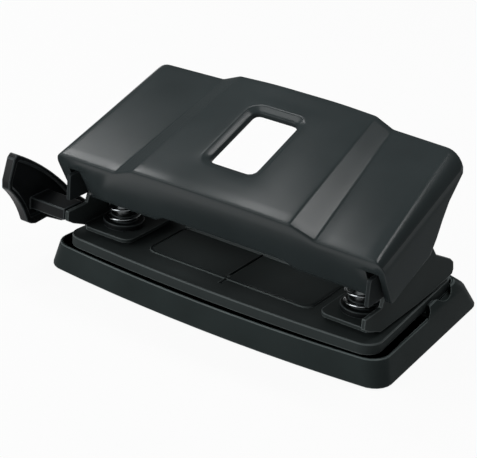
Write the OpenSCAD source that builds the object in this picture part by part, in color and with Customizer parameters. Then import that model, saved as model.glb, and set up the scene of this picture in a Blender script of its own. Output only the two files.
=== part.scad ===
// Two-hole desk punch: plastic chip tray, steel base plate, two steel brackets,
// spring-loaded punch pins, a pressed lever cover hinged on two front posts and
// a sliding paper stop. Millimetres, +Z up, the table is z = 0, the hole line is y = 0.

/* [Tray] */
// Half width of the tray's foot at its front corners
tray_half_front = 55.4; // [54.5:0.1:56.5]
// Half width of the tray's foot at its rear corners
tray_half_rear = 52.7; // [52.2:0.1:53]
// Y of the tray's front corners at the table
tray_front = -14; // [-14.5:0.1:-13.4]
// Extra width of the tray on its left, past the stop's side
tray_left = 2.2; // [1:0.1:2.6]
// How far the front edge bows forward of its corners
tray_bow = 2.8; // [2.2:0.1:3.4]
// Y of the tray's rear edge at the table
tray_rear = 52.2; // [51:0.2:53]
// Height of the tray's rim
tray_rim_z = 7.9; // [7.5:0.1:8.1]
// Draft of the walls from the table to the rim
tray_draft = 1.9; // [1.5:0.1:2.2]
// Extra lean of the rear wall
rear_lean = 4; // [3:0.2:5]
// Thickness of the tray's walls
tray_wall = 2; // [1.6:0.1:2.4]
// Thickness of the tray's floor
tray_floor = 1.6; // [1.2:0.1:2]
// Height of the shoulder round the plate's rear half
shoulder_z = 10.5; // [10:0.1:10.7]
// Width of the ridge outside the rim's channel
ridge_w = 0.9; // [0.7:0.1:1.2]
// Depth of the rim's channel
channel_d = 1; // [0.6:0.1:1.2]
// Y where the channel's round ends begin
bend_y = 11.5; // [10.5:0.5:12.5]
// Length of the channel's round ends
bend_len = 9.5; // [8.5:0.5:10.5]
// Half length of the finger recesses
recess_half = 6; // [5:0.2:7]
// Depth of the finger recesses, out from the plate
recess_in = 2.1; // [1.8:0.1:2.2]

/* [Base plate] */
// Height of the plate's top face
plate_z = 11.6; // [11.4:0.1:12]
// Thickness of the plate's sheet
plate_t = 1.2; // [1:0.1:1.4]
// Half width of the plate at its front corners
plate_half_front = 51.2; // [50.4:0.1:51.4]
// Half width of the plate at its rear corners
plate_half_rear = 48; // [47.6:0.1:48.6]
// Y of the plate's front corners
plate_front = -12.9; // [-13.1:0.1:-12.4]
// Bow of the plate's front edge
plate_bow = 1.9; // [1.5:0.1:2.2]
// Y of the plate's rear edge
plate_rear = 41.5; // [41:0.1:42]
// Height of the raised middle panel
panel_h = 0.45; // [0.3:0.05:0.6]
// Half width of the raised middle panel
panel_half = 27.4; // [26:0.2:28.6]
// Y of the back stop that the paper's edge meets
stop_y = 13.4; // [13:0.1:14]
// Height of the back stop
stop_h = 1.4; // [1.3:0.1:1.6]

/* [Brackets] */
// Distance from the middle to each hole
hole_x = 40; // [39.5:0.1:40.5]
// Sheet thickness of the brackets
bracket_t = 1.2; // [1:0.1:1.3]
// Height of the paper throat under the guide plates
throat_h = 1.3; // [1.2:0.1:1.6]
// Outer face of the brackets' side plates
bracket_x = 49.4; // [49.2:0.1:49.6]
// Inner edge of the guide plates
guide_in_x = 31.6; // [30.8:0.2:32.4]
// Y of the brackets' front tips
arm_front = -15.6; // [-15.9:0.1:-15.4]
// Y of the front edge of the guide plates
guide_front = -9; // [-9.6:0.2:-8.4]
// Height of the hinge posts' lower edges
post_low = 23.6; // [23.4:0.1:24]
// Height of the hinge posts' tops
post_top = 31.6; // [31.4:0.1:31.8]
// Y where the hinge posts end inside the lever
post_back = 6; // [5:0.5:8]

/* [Punch pins] */
// Radius of the punch pins
pin_r = 2.75; // [2.6:0.05:2.9]
// Radial running clearance of the pins in their bores
pin_clear = 0.05; // [0.03:0.01:0.08]
// Height of the pins' tops
pin_top = 29; // [28.8:0.1:29.2]
// Outer radius of the bushes
bush_r = 6; // [5.8:0.1:6.2]
// Height of the bushes' flanges
bush_h = 1.8; // [1.6:0.1:2]
// Thickness of the spring cups
cup_t = 1; // [0.9:0.1:1.1]
// Outer radius of the spring cups
cup_r = 5.6; // [5.4:0.1:5.8]
// Thickness of the retaining clips
clip_t = 0.6; // [0.5:0.05:0.7]

/* [Springs] */
// Mean radius of the coils
coil_r = 4.75; // [4.7:0.05:4.85]
// Radius of the spring wire
wire_r = 0.46; // [0.42:0.02:0.48]
// Number of curls
coil_turns = 3.25; // [3:0.25:3.5]

/* [Lever cover] */
// Sheet thickness of the lever cover
lever_t = 1.2; // [1:0.1:1.3]
// Outer half width of the cheeks at the front
cheek_front_x = 52.4; // [52.2:0.1:52.8]
// Outer half width of the cheeks at the rear
cheek_rear_x = 51; // [50.8:0.1:51.4]
// Extra width of the cover on its left at the front
left_front = 1.5; // [0.8:0.1:1.8]
// Extra width of the cover on its left at the rear
left_rear = 2.7; // [1.4:0.1:3]
// Height of the wings at the front edge
wing_front_z = 37.4; // [37:0.1:37.8]
// Height of the wings at the rear edge
wing_rear_z = 53.5; // [53:0.1:54]
// Rise of the middle over the wings
step_h = 3; // [2.6:0.1:3.4]
// Y of the lever's rear edge
lever_rear = 30; // [29.5:0.1:30.5]
// Height of the front flange's lower edge
flange_low = 23.2; // [23:0.1:23.6]
// Half width of the window at the lip's outer edge
window_half = 9.5; // [9:0.1:10]
// Room in the flange inside each hinge post
slot_in = 1.7; // [1.4:0.1:2]
// Room in the flange outside each hinge post
slot_out = 0.9; // [0.7:0.1:1]

/* [Paper stop] */
// Thickness of the stop's fin
fin_t = 3; // [2.6:0.1:3.4]
// Width of the rim round the fin's inner face
fin_rim = 1.4; // [1:0.1:1.8]
// Depth of the fin's inner face below its rim
fin_relief = 0.6; // [0.4:0.1:0.8]
// How far the fin's upper edge bows out
fin_bow = 1.4; // [0.8:0.1:1.8]
// X of the fin's inner face
fin_x = -62; // [-63:0.2:-61]
// Thickness of the slide bar
bar_t = 1.5; // [1.3:0.1:1.6]
// Width of the slide bar
bar_w = 7.2; // [6.8:0.1:7.6]
// Clearance of the slide bar in its channel
bar_clear = 0.3; // [0.25:0.05:0.4]

/* [Rivets] */
// Radius of the rivets' shanks
rivet_r = 1.5; // [1.3:0.1:1.6]
// Radius of the rivets' heads
rivet_head_r = 2.6; // [2.4:0.1:2.8]

/* [Hidden] */
$fn = 48;
e = 0.01;
guide_z0 = plate_z + throat_h;
guide_z1 = guide_z0 + bracket_t;
bush_top = guide_z1 + bush_h;
bore_r = pin_r + pin_clear;
clip_z1 = pin_top - 0.7;
clip_z0 = clip_z1 - clip_t;
cup_z0 = clip_z0 - cup_t;
groove_r = pin_r - 0.5;
pin_tip = guide_z0 + 0.3;
hinge_y = -13.5;
hinge_z = 31;
nose_r = 3;
nose_gap = 0.3;
nose_z = pin_top + nose_gap + nose_r;
side_x0 = bracket_x - bracket_t;
post_y0 = arm_front + 0.3;
foot_y0 = 16;
arm_top = 20.4;
flange_y0 = -7.8;
flange_gap = 0.7;
slot_up = 1.1;
shoulder_y = flange_y0 + lever_t * 1.16 + flange_gap;
rivet_y = [22, 31];
plate_clear = 0.35;
skirt_z = tray_rim_z + 0.4;
shoulder_out = 1.3;
recess_y = 30.3;
recess_z = tray_rim_z + 0.1;
recess_r = (recess_half * recess_half + recess_in * recess_in) / (2 * recess_in);
recess_x = plate_half_rear + 1 + recess_in;
rivet_x = 42.5;
panel_y = -5.6;
panel_edge = 1.2;
rib_half = 1.4;
rib_round = 0.3;
mark_w = 0.4;
mark_d = 0.2;
mark_front = -8.8;
head_h = 0.7;
shelf_y = -15.4;
shelf_w = 8.2;
shelf_z = 17;
shelf_h = 3.6;
shelf_gap = 0.5;
ring_in = 2.2;
ring_t = 1.5;
bar_y0 = 3.6;
bar_z0 = tray_rim_z + bar_clear;
ink = [0.07, 0.07, 0.075];
slate = [0.2, 0.21, 0.22];
steel = [0.72, 0.73, 0.74];

// Plan outline with a bowed front edge and four round corners
function outline(hf, hr, yf, yr, bow, rc) = concat(
    [for (i = [0:10]) let (x = -(hf - rc) + i * (hf - rc) / 5) [x, yf - bow * (1 - pow(x / (hf - rc), 2))]],
    [for (a = [-75:15:0]) [hf - rc + rc * cos(a), yf + rc + rc * sin(a)]],
    [for (a = [0:15:90]) [hr - rc + rc * cos(a), yr - rc + rc * sin(a)]],
    [for (a = [90:15:180]) [-(hr - rc) + rc * cos(a), yr - rc + rc * sin(a)]],
    [for (a = [180:15:255]) [-(hf - rc) + rc * cos(a), yf + rc + rc * sin(a)]]);

function widen(pts) = [for (p = pts) [p[0] + tray_left * min(0, max(-1, p[0] / 40)), p[1]]];
function foot_pts() = widen(outline(tray_half_front, tray_half_rear, tray_front, tray_rear, tray_bow, 6));
function rim_pts(k) = widen(outline(tray_half_front - tray_draft - k, tray_half_rear - tray_draft * 0.7 - k,
    tray_front + tray_draft * 0.35 + k, tray_rear - rear_lean - tray_draft - k, tray_bow, 6 - k / 2));
function shoulder_pts() = let (x = plate_half_rear + 1.5, w = tray_half_front - tray_draft - 0.6 - x,
    bend = [for (a = [0:10:90]) [x + w * cos(a), bend_y + bend_len * sin(a)]])
    concat([[80, bend_y]], bend, [for (i = [len(bend) - 1:-1:0]) [-bend[i][0], bend[i][1]]],
        [[-80, bend_y], [-80, 80], [80, 80]]);
function groove_pts() = outline(plate_half_front + plate_clear, plate_half_rear + plate_clear,
    plate_front - plate_clear, plate_rear + plate_clear, plate_bow, 5);
// Plan outline of a rectangle with round corners, from y = 0 to y = l
function rounded(hx, l, r) = [for (c = [[hx - r, r, -90], [hx - r, l - r, 0],
        [r - hx, l - r, 90], [r - hx, r, 180]], a = [0:15:90])
    [c[0] + r * cos(c[2] + a), c[1] + r * sin(c[2] + a)]];
// Curve from a to b that stands off its chord by sag
function bowed(a, b, sag, n) = let (d = b - a, side = [-d[1], d[0]] / norm(d))
    [for (i = [0:n]) a + d * i / n + side * sag * 4 * (i / n) * (1 - i / n)];
function plate_pts(k) = outline(plate_half_front - k, plate_half_rear - k, plate_front + k,
    plate_rear - k, plate_bow, 5 - k / 2);

module side(s) { scale([s, 1, 1]) children(); }

module base_tray() {
    color(ink) difference() {
        union() {
            hull() {
                linear_extrude(0.6) polygon(foot_pts());
                translate([0, 0, tray_rim_z - 0.4]) linear_extrude(0.4) polygon(rim_pts(0));
            }
            // shoulder round the plate's rear half
            intersection() {
                hull() {
                    translate([0, 0, tray_rim_z - 0.5]) linear_extrude(0.5) polygon(rim_pts(0));
                    translate([0, 0, shoulder_z - 0.4]) linear_extrude(0.4)
                        polygon(widen(outline(plate_half_front + shoulder_out, plate_half_rear + shoulder_out,
                            plate_front, plate_rear + shoulder_out, plate_bow, 6)));
                }
                linear_extrude(30) polygon(widen(shoulder_pts()));
            }
            translate([0, 0, tray_floor]) linear_extrude(plate_z - plate_t - tray_floor)
                polygon(plate_pts(ring_in));
        }
        // chip space
        translate([0, 0, tray_floor]) linear_extrude(tray_rim_z - tray_wall - tray_floor)
            polygon(rim_pts(tray_wall + 1.2));
        translate([0, 0, tray_floor]) linear_extrude(30) polygon(plate_pts(ring_in + ring_t));
        // groove for the plate's turned-down edge
        translate([0, 0, tray_rim_z]) linear_extrude(30) difference() {
            polygon(groove_pts());
            polygon(plate_pts(ring_in));
        }
        // channel inside the rim's ridge, up to the shoulder's bends
        translate([0, 0, tray_rim_z - channel_d]) linear_extrude(30) difference() {
            polygon(rim_pts(ridge_w));
            polygon(plate_pts(ring_in));
            polygon(widen(shoulder_pts()));
        }
        translate([0, 0, plate_z - plate_t]) linear_extrude(30) polygon(plate_pts(0));
        // room for the rivets' lower heads
        for (s = [-1, 1], y = rivet_y) translate([s * rivet_x, y, tray_floor])
            cylinder(r = rivet_head_r + bar_clear, h = 30);
        // finger recesses
        translate([0, 0, recess_z]) linear_extrude(20) difference() {
            for (x = [recess_x, -recess_x - tray_left]) translate([x - sign(x) * recess_r, recess_y])
                circle(r = recess_r, $fn = 96);
            polygon(groove_pts());
        }
        // channel of the slide bar
        translate([-80, bar_y0 - bar_clear, tray_rim_z])
            cube([60, bar_w + 2 * bar_clear, plate_z - plate_t - tray_rim_z + e]);
    }
}

module base_plate() {
    color(ink) difference() {
        union() {
            translate([0, 0, plate_z - plate_t]) linear_extrude(plate_t) polygon(plate_pts(0));
            translate([0, 0, skirt_z]) linear_extrude(plate_z - plate_t - skirt_z + e)
                difference() {
                    polygon(plate_pts(0));
                    polygon(plate_pts(plate_t));
                }
            hull() {
                translate([0, panel_y, plate_z - 0.2]) linear_extrude(0.2 + e)
                    polygon(rounded(panel_half, stop_y - panel_y + 1, 3));
                translate([0, panel_y + panel_edge, plate_z]) linear_extrude(panel_h)
                    polygon(rounded(panel_half - panel_edge, stop_y - panel_y - 0.4, 2));
            }
            // back stop for the paper's edge, pressed up across the plate
            translate([-panel_half, stop_y + rib_half, plate_z - e]) rotate([90, 0, 90])
                linear_extrude(2 * panel_half) polygon(concat([[-rib_half, 0]],
                    bowed([-rib_half, stop_h - rib_round], [rib_half, stop_h - rib_round], rib_round, 6),
                    [[rib_half, 0]]));
        }
        for (s = [-1, 1]) {
            translate([s * hole_x, 0, 0]) cylinder(r = bore_r, h = 30);
            for (y = rivet_y) translate([s * rivet_x, y, 0]) cylinder(r = rivet_r + pin_clear, h = 30);
        }
        // centre mark
        translate([-mark_w / 2, mark_front, plate_z - mark_d])
            cube([mark_w, panel_y - mark_front + mark_d, 3]);
        translate([-mark_w / 2, panel_y, plate_z + panel_h - mark_d])
            cube([mark_w, stop_y - panel_y, mark_d + 0.1]);
        translate([-80, bar_y0 - bar_clear, 0]) cube([60, bar_w + 2 * bar_clear, plate_z - plate_t]);
    }
}

module bracket() {
    color(ink) difference() {
        union() {
            // side plate with its front arm and rear lug
            translate([side_x0, 0, 0]) rotate([90, 0, 90]) linear_extrude(bracket_t) polygon([
                [arm_front, guide_z0 + 4.5], [arm_front, arm_top], [shoulder_y - 1.2, arm_top],
                [shoulder_y, post_low], [post_back, post_low], [post_back, post_top - 0.6],
                [15, 31], [19, 29.6], [23, 25.1], [33.2, 20.1], [35.4, 18.4], [36.2, 15.8],
                [35.6, 14.4], [foot_y0, guide_z0], [-6, guide_z0], [-12.9, guide_z0 + 2.9]]);
            // guide plate over the paper throat, with a rounded inner corner
            translate([0, 0, guide_z0]) linear_extrude(bracket_t) polygon(concat(
                [[side_x0 + e, foot_y0 + 1.6], [guide_in_x, foot_y0 + 1.6]],
                [for (a = [180:15:270]) [guide_in_x + 3 + 3 * cos(a), guide_front + 3 + 3 * sin(a)]],
                [[side_x0 - 1.5, guide_front], [side_x0 + e, guide_front + 1.5]]));
            // joggle and foot on the plate
            translate([37, foot_y0, plate_z]) cube([side_x0 - 37 + e, 1.6, guide_z1 - plate_z]);
            translate([37, foot_y0, plate_z]) cube([side_x0 - 37 + e, 20, bracket_t]);
        }
        translate([hole_x, 0, 0]) cylinder(r = bore_r, h = 30);
        for (y = rivet_y) translate([rivet_x, y, 0]) cylinder(r = rivet_r + pin_clear, h = 30);
    }
}

module bracket_rivets() {
    color(steel) for (s = [-1, 1], y = rivet_y) translate([s * rivet_x, y, 0]) {
        translate([0, 0, plate_z - plate_t - 0.8]) cylinder(r = rivet_head_r - 0.4, h = 0.8);
        translate([0, 0, plate_z - plate_t - e]) cylinder(r = rivet_r, h = plate_t + bracket_t + 2 * e);
        translate([0, 0, plate_z + bracket_t]) cylinder(r = rivet_head_r, h = head_h);
        translate([0, 0, plate_z + bracket_t + head_h - e])
            cylinder(r1 = rivet_head_r, r2 = rivet_head_r - 0.9, h = 0.6);
    }
}

// Finger of sheet that reaches through the lever's flange and is welded to the side plate
module post() {
    color(slate) translate([side_x0, 0, 0]) rotate([90, 0, 90]) linear_extrude(bracket_t) polygon(concat(
        [[post_back, post_low], [post_back, post_top - 0.6], [post_back - 2, post_top]],
        [for (a = [90:15:180]) [post_y0 + 0.8 + 0.8 * cos(a), post_top - 0.8 + 0.8 * sin(a)]],
        [for (a = [180:15:270]) [post_y0 + 0.8 + 0.8 * cos(a), post_low + 0.8 + 0.8 * sin(a)]]));
}

module bush() {
    color(ink) translate([hole_x, 0, 0]) difference() {
        union() {
            translate([0, 0, guide_z1]) cylinder(r = bush_r, h = bush_h);
            translate([0, 0, bush_top - e]) cylinder(r = coil_r - wire_r - 0.35, h = 1.8);
        }
        cylinder(r = bore_r, h = 40);
    }
}

module pin() {
    color(steel) translate([hole_x, 0, 0]) difference() {
        translate([0, 0, pin_tip]) cylinder(r = pin_r, h = pin_top - pin_tip);
        translate([0, 0, clip_z0]) difference() {
            cylinder(r = pin_r + 1, h = clip_t);
            translate([0, 0, -1]) cylinder(r = groove_r, h = clip_t + 2);
        }
        // hollow-ground tip
        translate([-10, 0, pin_tip - 5.2]) rotate([0, 90, 0]) cylinder(r = 5.9, h = 20);
    }
}

module cup() {
    color(steel) translate([hole_x, 0, cup_z0]) difference() {
        cylinder(r = cup_r, h = cup_t);
        translate([0, 0, -1]) cylinder(r = bore_r, h = cup_t + 2);
    }
}

module clip() {
    color(slate) translate([hole_x, 0, clip_z0]) difference() {
        cylinder(r = pin_r + 1.6, h = clip_t);
        translate([0, 0, -1]) cylinder(r = groove_r + 0.03, h = clip_t + 2);
        translate([-groove_r * 0.8, -20, -1]) cube([groove_r * 1.6, 20, clip_t + 2]);
    }
}

// Points along one spring's centre line: a straight start, the curls, a straight end
coil_z0 = bush_top + wire_r + 0.02;
coil_z1 = cup_z0 - wire_r - 0.02;
rings = 12;
n_ring = floor(coil_turns * rings);
function coil_pt(i) = let (a = 360 * i / rings) [coil_r * cos(a), coil_r * sin(a),
    coil_z0 + (coil_z1 - coil_z0) * i / n_ring];
function tangent(i) = let (a = 360 * i / rings) [-sin(a), cos(a), 0];
coil_line = concat([coil_pt(0) - 2 * wire_r * tangent(0)], [for (i = [0:n_ring]) coil_pt(i)],
    [coil_pt(n_ring) + 2 * wire_r * tangent(n_ring)]);
function frame_at(i) = let (a = 360 * min(max(i - 1, 0), n_ring) / rings) [cos(a), sin(a), 0];
wire_pts = [for (i = [0:len(coil_line) - 1], k = [0:5])
    coil_line[i] + wire_r * (cos(60 * k) * frame_at(i) + sin(60 * k) * [0, 0, 1])];
nl = len(coil_line);
wire_faces = concat(
    [for (i = [0:nl - 2], k = [0:5]) [i * 6 + k, i * 6 + (k + 1) % 6, (i + 1) * 6 + (k + 1) % 6]],
    [for (i = [0:nl - 2], k = [0:5]) [i * 6 + k, (i + 1) * 6 + (k + 1) % 6, (i + 1) * 6 + k]],
    [for (k = [1:4]) [0, k + 1, k]],
    [for (k = [1:4]) [(nl - 1) * 6, (nl - 1) * 6 + k, (nl - 1) * 6 + k + 1]]);
coil_gap = min([for (i = [0:nl - 1], j = [0:nl - 1]) if (j > i + rings / 2)
    norm(coil_line[i] - coil_line[j])]) - 2 * wire_r;
echo(least_coil_gap = coil_gap);

module spring() {
    color(steel) polyhedron(points = wire_pts, faces = wire_faces, convexity = 10);
}

// Lever sections: the front one lies in the leaning flange, the rear one is upright
crown = 0.5;
// Window lip: inset at its sides and ends, and drop, of its round edge and of its foot
lip_edge = [1.8, 2.3, 1];
lip_foot = [2.4, 2.6, 2.2];
lip_corner = 4.2;
win_x = -1.9;
win_y0 = -7.5;
win_len = 29.2;
flange_lean = 8.2 / 14;
// Width and height of the cover's round shoulders, front and rear
corner_front = [2.6, 4.2];
corner_rear = [6.2, 7];
corner_n = 8;
function flange_y(z) = flange_y0 - (z - flange_low) * flange_lean;
function round_off(cx, cz, rx, rz) = [for (i = [0:corner_n]) let (a = 90 * i / corner_n)
    [cx + rx * cos(a), cz + rz * sin(a)]];
function half_front(k) = concat([[cheek_front_x - k, flange_low - 20]],
    round_off(cheek_front_x - corner_front[0], wing_front_z - corner_front[1],
        corner_front[0] - k, corner_front[1] - k),
    [[32.2, wing_front_z + 0.1 - k], [25.3, wing_front_z + step_h + 0.1 - k],
        [12, wing_front_z + step_h + crown - k]]);
function half_rear(k) = concat([[cheek_rear_x - k, flange_low - 20]],
    round_off(cheek_rear_x - corner_rear[0], wing_rear_z - corner_rear[1],
        corner_rear[0] - k, corner_rear[1] - k),
    [[28.3, wing_rear_z + 0.5 - k], [22.6, wing_rear_z + step_h - 0.1 - k],
        [11, wing_rear_z + step_h + crown - k]]);
function both(h, more) = concat([for (p = h) p],
    [for (i = [len(h) - 1:-1:0]) [-h[i][0] - (h[i][0] > 40 ? more : 0), h[i][1]]]);

// Solid between the two sections; k thins it, dy moves its front, back moves its rear
module lever_solid(k, kz, dy, back) {
    f = both(half_front(k), left_front);
    r = both(half_rear(k), left_rear);
    n = len(f);
    h = n / 2;
    pts = concat([for (p = f) [p[0], flange_y(p[1]) + dy, p[1] - kz]],
        [for (i = [0:n - 1]) let (p = f[i], q = r[i], y = flange_y(p[1]),
            g = (lever_rear + back - y - dy) / (lever_rear - y)) [p[0] + (q[0] - p[0]) * g,
            lever_rear + back, p[1] + (q[1] - p[1]) * g - kz]]);
    faces = concat(
        [for (i = [0:h - 2]) [i, i + 1, n - 2 - i]], [for (i = [0:h - 2]) [i, n - 2 - i, n - 1 - i]],
        [for (i = [0:h - 2]) [n + i, 2 * n - 2 - i, n + i + 1]],
        [for (i = [0:h - 2]) [n + i, 2 * n - 1 - i, 2 * n - 2 - i]],
        [for (i = [0:n - 1]) [i, n + i, (i + 1) % n]],
        [for (i = [0:n - 1]) [(i + 1) % n, n + i, n + (i + 1) % n]]);
    polyhedron(points = pts, faces = [for (q = faces) [q[0], q[2], q[1]]], convexity = 8);
}

top_slope = atan((wing_rear_z - wing_front_z) / (lever_rear - flange_y(wing_front_z)));
function top_z(y) = wing_front_z + step_h + crown + (y - flange_y(wing_front_z + step_h))
    * (wing_rear_z - wing_front_z) / (lever_rear - flange_y(wing_front_z + step_h));

// Slice of the window's funnel, in[0] and in[1] inside its edge and in[2] down; k grows it all round
module lip_slice(in, k) {
    translate([0, in[1] - k, -in[2]]) linear_extrude(0.2)
        polygon(rounded(window_half - in[0] + k, win_len - 2 * (in[1] - k), lip_corner - in[0] + k));
}

module at_window() { translate([win_x, win_y0, top_z(win_y0)]) rotate([top_slope, 0, 0]) children(); }

// Funnel of the window, square to the top: a round edge and a steep wall below it
module funnel(k, up, more) {
    at_window() {
        hull() {
            lip_slice(-up * lip_edge, k);
            lip_slice(lip_edge, k);
        }
        hull() {
            lip_slice(lip_edge, k);
            lip_slice(lip_foot + [0, 0, more], k);
        }
    }
}

module lever_cover() {
    color(slate) difference() {
        union() {
            difference() {
                lever_solid(0, 0, 0, 0);
                lever_solid(lever_t, -lever_t * 0.35, lever_t * 1.16, 20);
            }
            intersection() {
                funnel(lever_t, 0, 0);
                lever_solid(0, 0, 0, 0);
            }
        }
        funnel(0, 1, 2 * e);
        at_window() translate([0, lip_foot[1], -9]) linear_extrude(9)
            polygon(rounded(window_half - lip_foot[0], win_len - 2 * lip_foot[1], lip_corner - lip_foot[0]));
        // below the flange, with a shallow arch in the middle
        translate([-60, -40, -40]) cube([120, 80, 40 + flange_low]);
        translate([0, 10, 0]) rotate([90, 0, 0]) linear_extrude(40)
            polygon([[-24, flange_low - 1], [-20, flange_low + 2],
                [20, flange_low + 2], [24, flange_low - 1]]);
        // cheeks: lower edge and hollow rear edge
        translate([-80, 0, 0]) rotate([90, 0, 90]) linear_extrude(160) polygon([
            [-6.2, 10], [-6.2, flange_low + 0.3], [15.4, 29.2], [17.2, 33.4], [19.2, 37.2], [21.1, 40.6],
            [23.3, 43.2], [25.9, 45.2], [28.6, 46.6], [29.4, 47.6], [29.7, 49], [34, 50], [60, 48],
            [60, 10]]);
        // gaps for the hinge posts
        for (s = [-1, 1]) scale([s, 1, 1]) translate([side_x0 - slot_in, -30, 0])
            cube([slot_in + bracket_t + slot_out, 25, post_top + slot_up]);
    }
}

function wing_z(y) = wing_front_z + (y - flange_y(wing_front_z)) * (wing_rear_z - wing_front_z)
    / (lever_rear - flange_y(wing_front_z));

module press() {
    color(slate) translate([hole_x - 2.5, 0, 0]) rotate([90, 0, 90]) linear_extrude(5) polygon(concat(
        [for (a = [180:10:360]) [nose_r * cos(a), nose_z + nose_r * sin(a)]],
        [[nose_r, wing_z(nose_r) - lever_t * 0.75], [-nose_r, wing_z(-nose_r) - lever_t * 0.75]]));
}

// Outline of the stop's fin, in from its edge by k, down to low at its foot
function fin_pts(k, low) = concat(
    [[-23.2 + k, 34.9 - k], [-25.3 + k, 28.5 - k / 3]],
    bowed([-25.3 + k, 26 + k / 3], [-17 + k, max(13.2, low)], 0.9, 6),
    [[-15.2 + k, max(12.1, low)], [-13.2 + k, max(11.5, low)], [-8, max(11.8, low)], [-1, max(bar_z0, low)],
        [bar_y0 + bar_w - 3 * k, max(bar_z0, low)], [bar_y0 + bar_w - 3 * k, max(bar_z0 + 3, low)]],
    bowed([4 - 1.6 * k, 16.2], [-21.9 + k / 2, 36 - 1.5 * k], -fin_bow, 10));

module paper_stop() {
    color(ink) {
        translate([fin_x - fin_t, 0, 0]) rotate([90, 0, 90]) difference() {
            linear_extrude(fin_t) polygon(fin_pts(0, 0));
            translate([0, 0, fin_t - fin_relief]) linear_extrude(fin_t) polygon(fin_pts(fin_rim, 14.6));
        }
        // shelf towards the bracket
        translate([fin_x - fin_relief - e, shelf_y, shelf_z])
            cube([fin_relief - fin_x - bracket_x - shelf_gap, shelf_w, shelf_h]);
        // slide bar in the base
        translate([fin_x - e, bar_y0, bar_z0]) cube([-fin_x - 8, bar_w, bar_t]);
    }
}

base_tray();
base_plate();
side(-1) bracket();  // bracket_left
side(1) bracket();  // bracket_right
bracket_rivets();
side(-1) post();  // post_left
side(1) post();  // post_right
side(-1) bush();  // bush_left
side(1) bush();  // bush_right
side(-1) pin();  // pin_left
side(1) pin();  // pin_right
translate([-hole_x, 0, 0]) rotate([0, 0, 200]) spring();  // spring_left
translate([hole_x, 0, 0]) rotate([0, 0, 200]) spring();  // spring_right
side(-1) cup();  // cup_left
side(1) cup();  // cup_right
side(-1) clip();  // clip_left
side(1) clip();  // clip_right
lever_cover();
side(-1) press();  // press_left
side(1) press();  // press_right
paper_stop();
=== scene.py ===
"""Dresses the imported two-hole desk punch: lever sheet, edge rounds, finishes, springs and studio.

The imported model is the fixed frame. Every piece is in metres in the same frame as the CAD:
the table is z = 0, the hole line is y = 0 and +X runs along it to the right.
"""

from __future__ import annotations

import logging
import math
from dataclasses import dataclass, replace
from enum import Enum
from typing import Any

import bmesh
import bpy
from mathutils import Matrix, Vector

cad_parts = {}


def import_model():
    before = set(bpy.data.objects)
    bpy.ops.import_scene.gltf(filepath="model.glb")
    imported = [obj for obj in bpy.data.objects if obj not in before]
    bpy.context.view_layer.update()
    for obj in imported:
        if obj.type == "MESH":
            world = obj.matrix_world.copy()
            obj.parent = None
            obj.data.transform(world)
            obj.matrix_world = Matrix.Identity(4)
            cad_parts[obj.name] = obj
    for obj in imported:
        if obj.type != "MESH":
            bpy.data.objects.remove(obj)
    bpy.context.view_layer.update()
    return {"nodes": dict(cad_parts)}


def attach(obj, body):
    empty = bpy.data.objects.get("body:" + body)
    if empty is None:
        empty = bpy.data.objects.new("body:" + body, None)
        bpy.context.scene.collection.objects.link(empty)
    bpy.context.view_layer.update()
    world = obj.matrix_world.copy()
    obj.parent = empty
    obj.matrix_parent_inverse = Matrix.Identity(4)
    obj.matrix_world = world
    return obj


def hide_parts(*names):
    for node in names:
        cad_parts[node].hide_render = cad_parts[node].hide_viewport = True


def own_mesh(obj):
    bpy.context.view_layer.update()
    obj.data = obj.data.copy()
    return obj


LOG = logging.getLogger("desk_punch")
MM = 0.001
# Width of the photograph's frame in pixels, and of the camera's sensor
IMAGE_WIDTH = 477
SENSOR_MM = 36.0
# Name of the modifier that rounds a piece's edges
EDGE = "edge"

Nodes = dict[str, bpy.types.Object]
Values = dict[str | int, Any]
Pair = tuple[float, float]
Triple = tuple[float, float, float]
Point = tuple[float, float]
Line = tuple[Vector, Vector]
Verts = list[bmesh.types.BMVert]

# The span that most of a noise texture lies in, as a Map Range node's values
NOISE_SPAN: Values = {"From Min": 0.3, "From Max": 0.7}


class Grain(Enum):
    """Direction in which a metal piece was ground or drawn."""

    ROUND = "round"
    ALONG_X = "along_x"
    ALONG_Z = "along_z"


class Side(Enum):
    """Side of the middle on which a piece or a half section lies."""

    LEFT = "left"
    RIGHT = "right"

    @property
    def sign(self) -> int:
        """Returns -1 on the left and 1 on the right."""
        return -1 if self is Side.LEFT else 1


def linear(hex_colour: str) -> tuple[float, float, float, float]:
    """Turns an sRGB hex value into linear RGBA, by the sRGB standard's curve.

    Args:
        hex_colour: six hex digits, with or without a leading hash.

    Returns:
        Linear red, green, blue and an alpha of 1.
    """
    digits = hex_colour.lstrip("#")
    parts = [int(digits[i : i + 2], 16) / 255 for i in (0, 2, 4)]
    r, g, b = (c / 12.92 if c <= 0.04045 else ((c + 0.055) / 1.055) ** 2.4 for c in parts)
    return (r, g, b, 1.0)


def per_metre(size_mm: float) -> float:
    """Returns the texture scale at which one pattern cell is size_mm wide."""
    return 1.0 / (size_mm * MM)


def add_node(
    tree: bpy.types.NodeTree,
    kind: str,
    values: Values | None = None,
    links: dict[str | int, bpy.types.Node | bpy.types.NodeSocket] | None = None,
    **settings: Any,
) -> bpy.types.Node:
    """Adds one node with its settings, socket values and incoming links.

    Args:
        tree: the node tree that takes the node.
        kind: the node's type name.
        values: input socket values by name or index.
        links: what feeds the inputs, by name or index: an output socket, or a node for its first
            output in use.
        **settings: the node's own properties.

    Returns:
        The new node.
    """
    node = tree.nodes.new(kind)
    for name, value in settings.items():
        setattr(node, name, value)
    for socket, value in (values or {}).items():
        node.inputs[socket].default_value = value
    for socket, source in (links or {}).items():
        if isinstance(source, bpy.types.Node):
            source = next(out for out in source.outputs if out.enabled)
        tree.links.new(source, node.inputs[socket])
    return node


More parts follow.
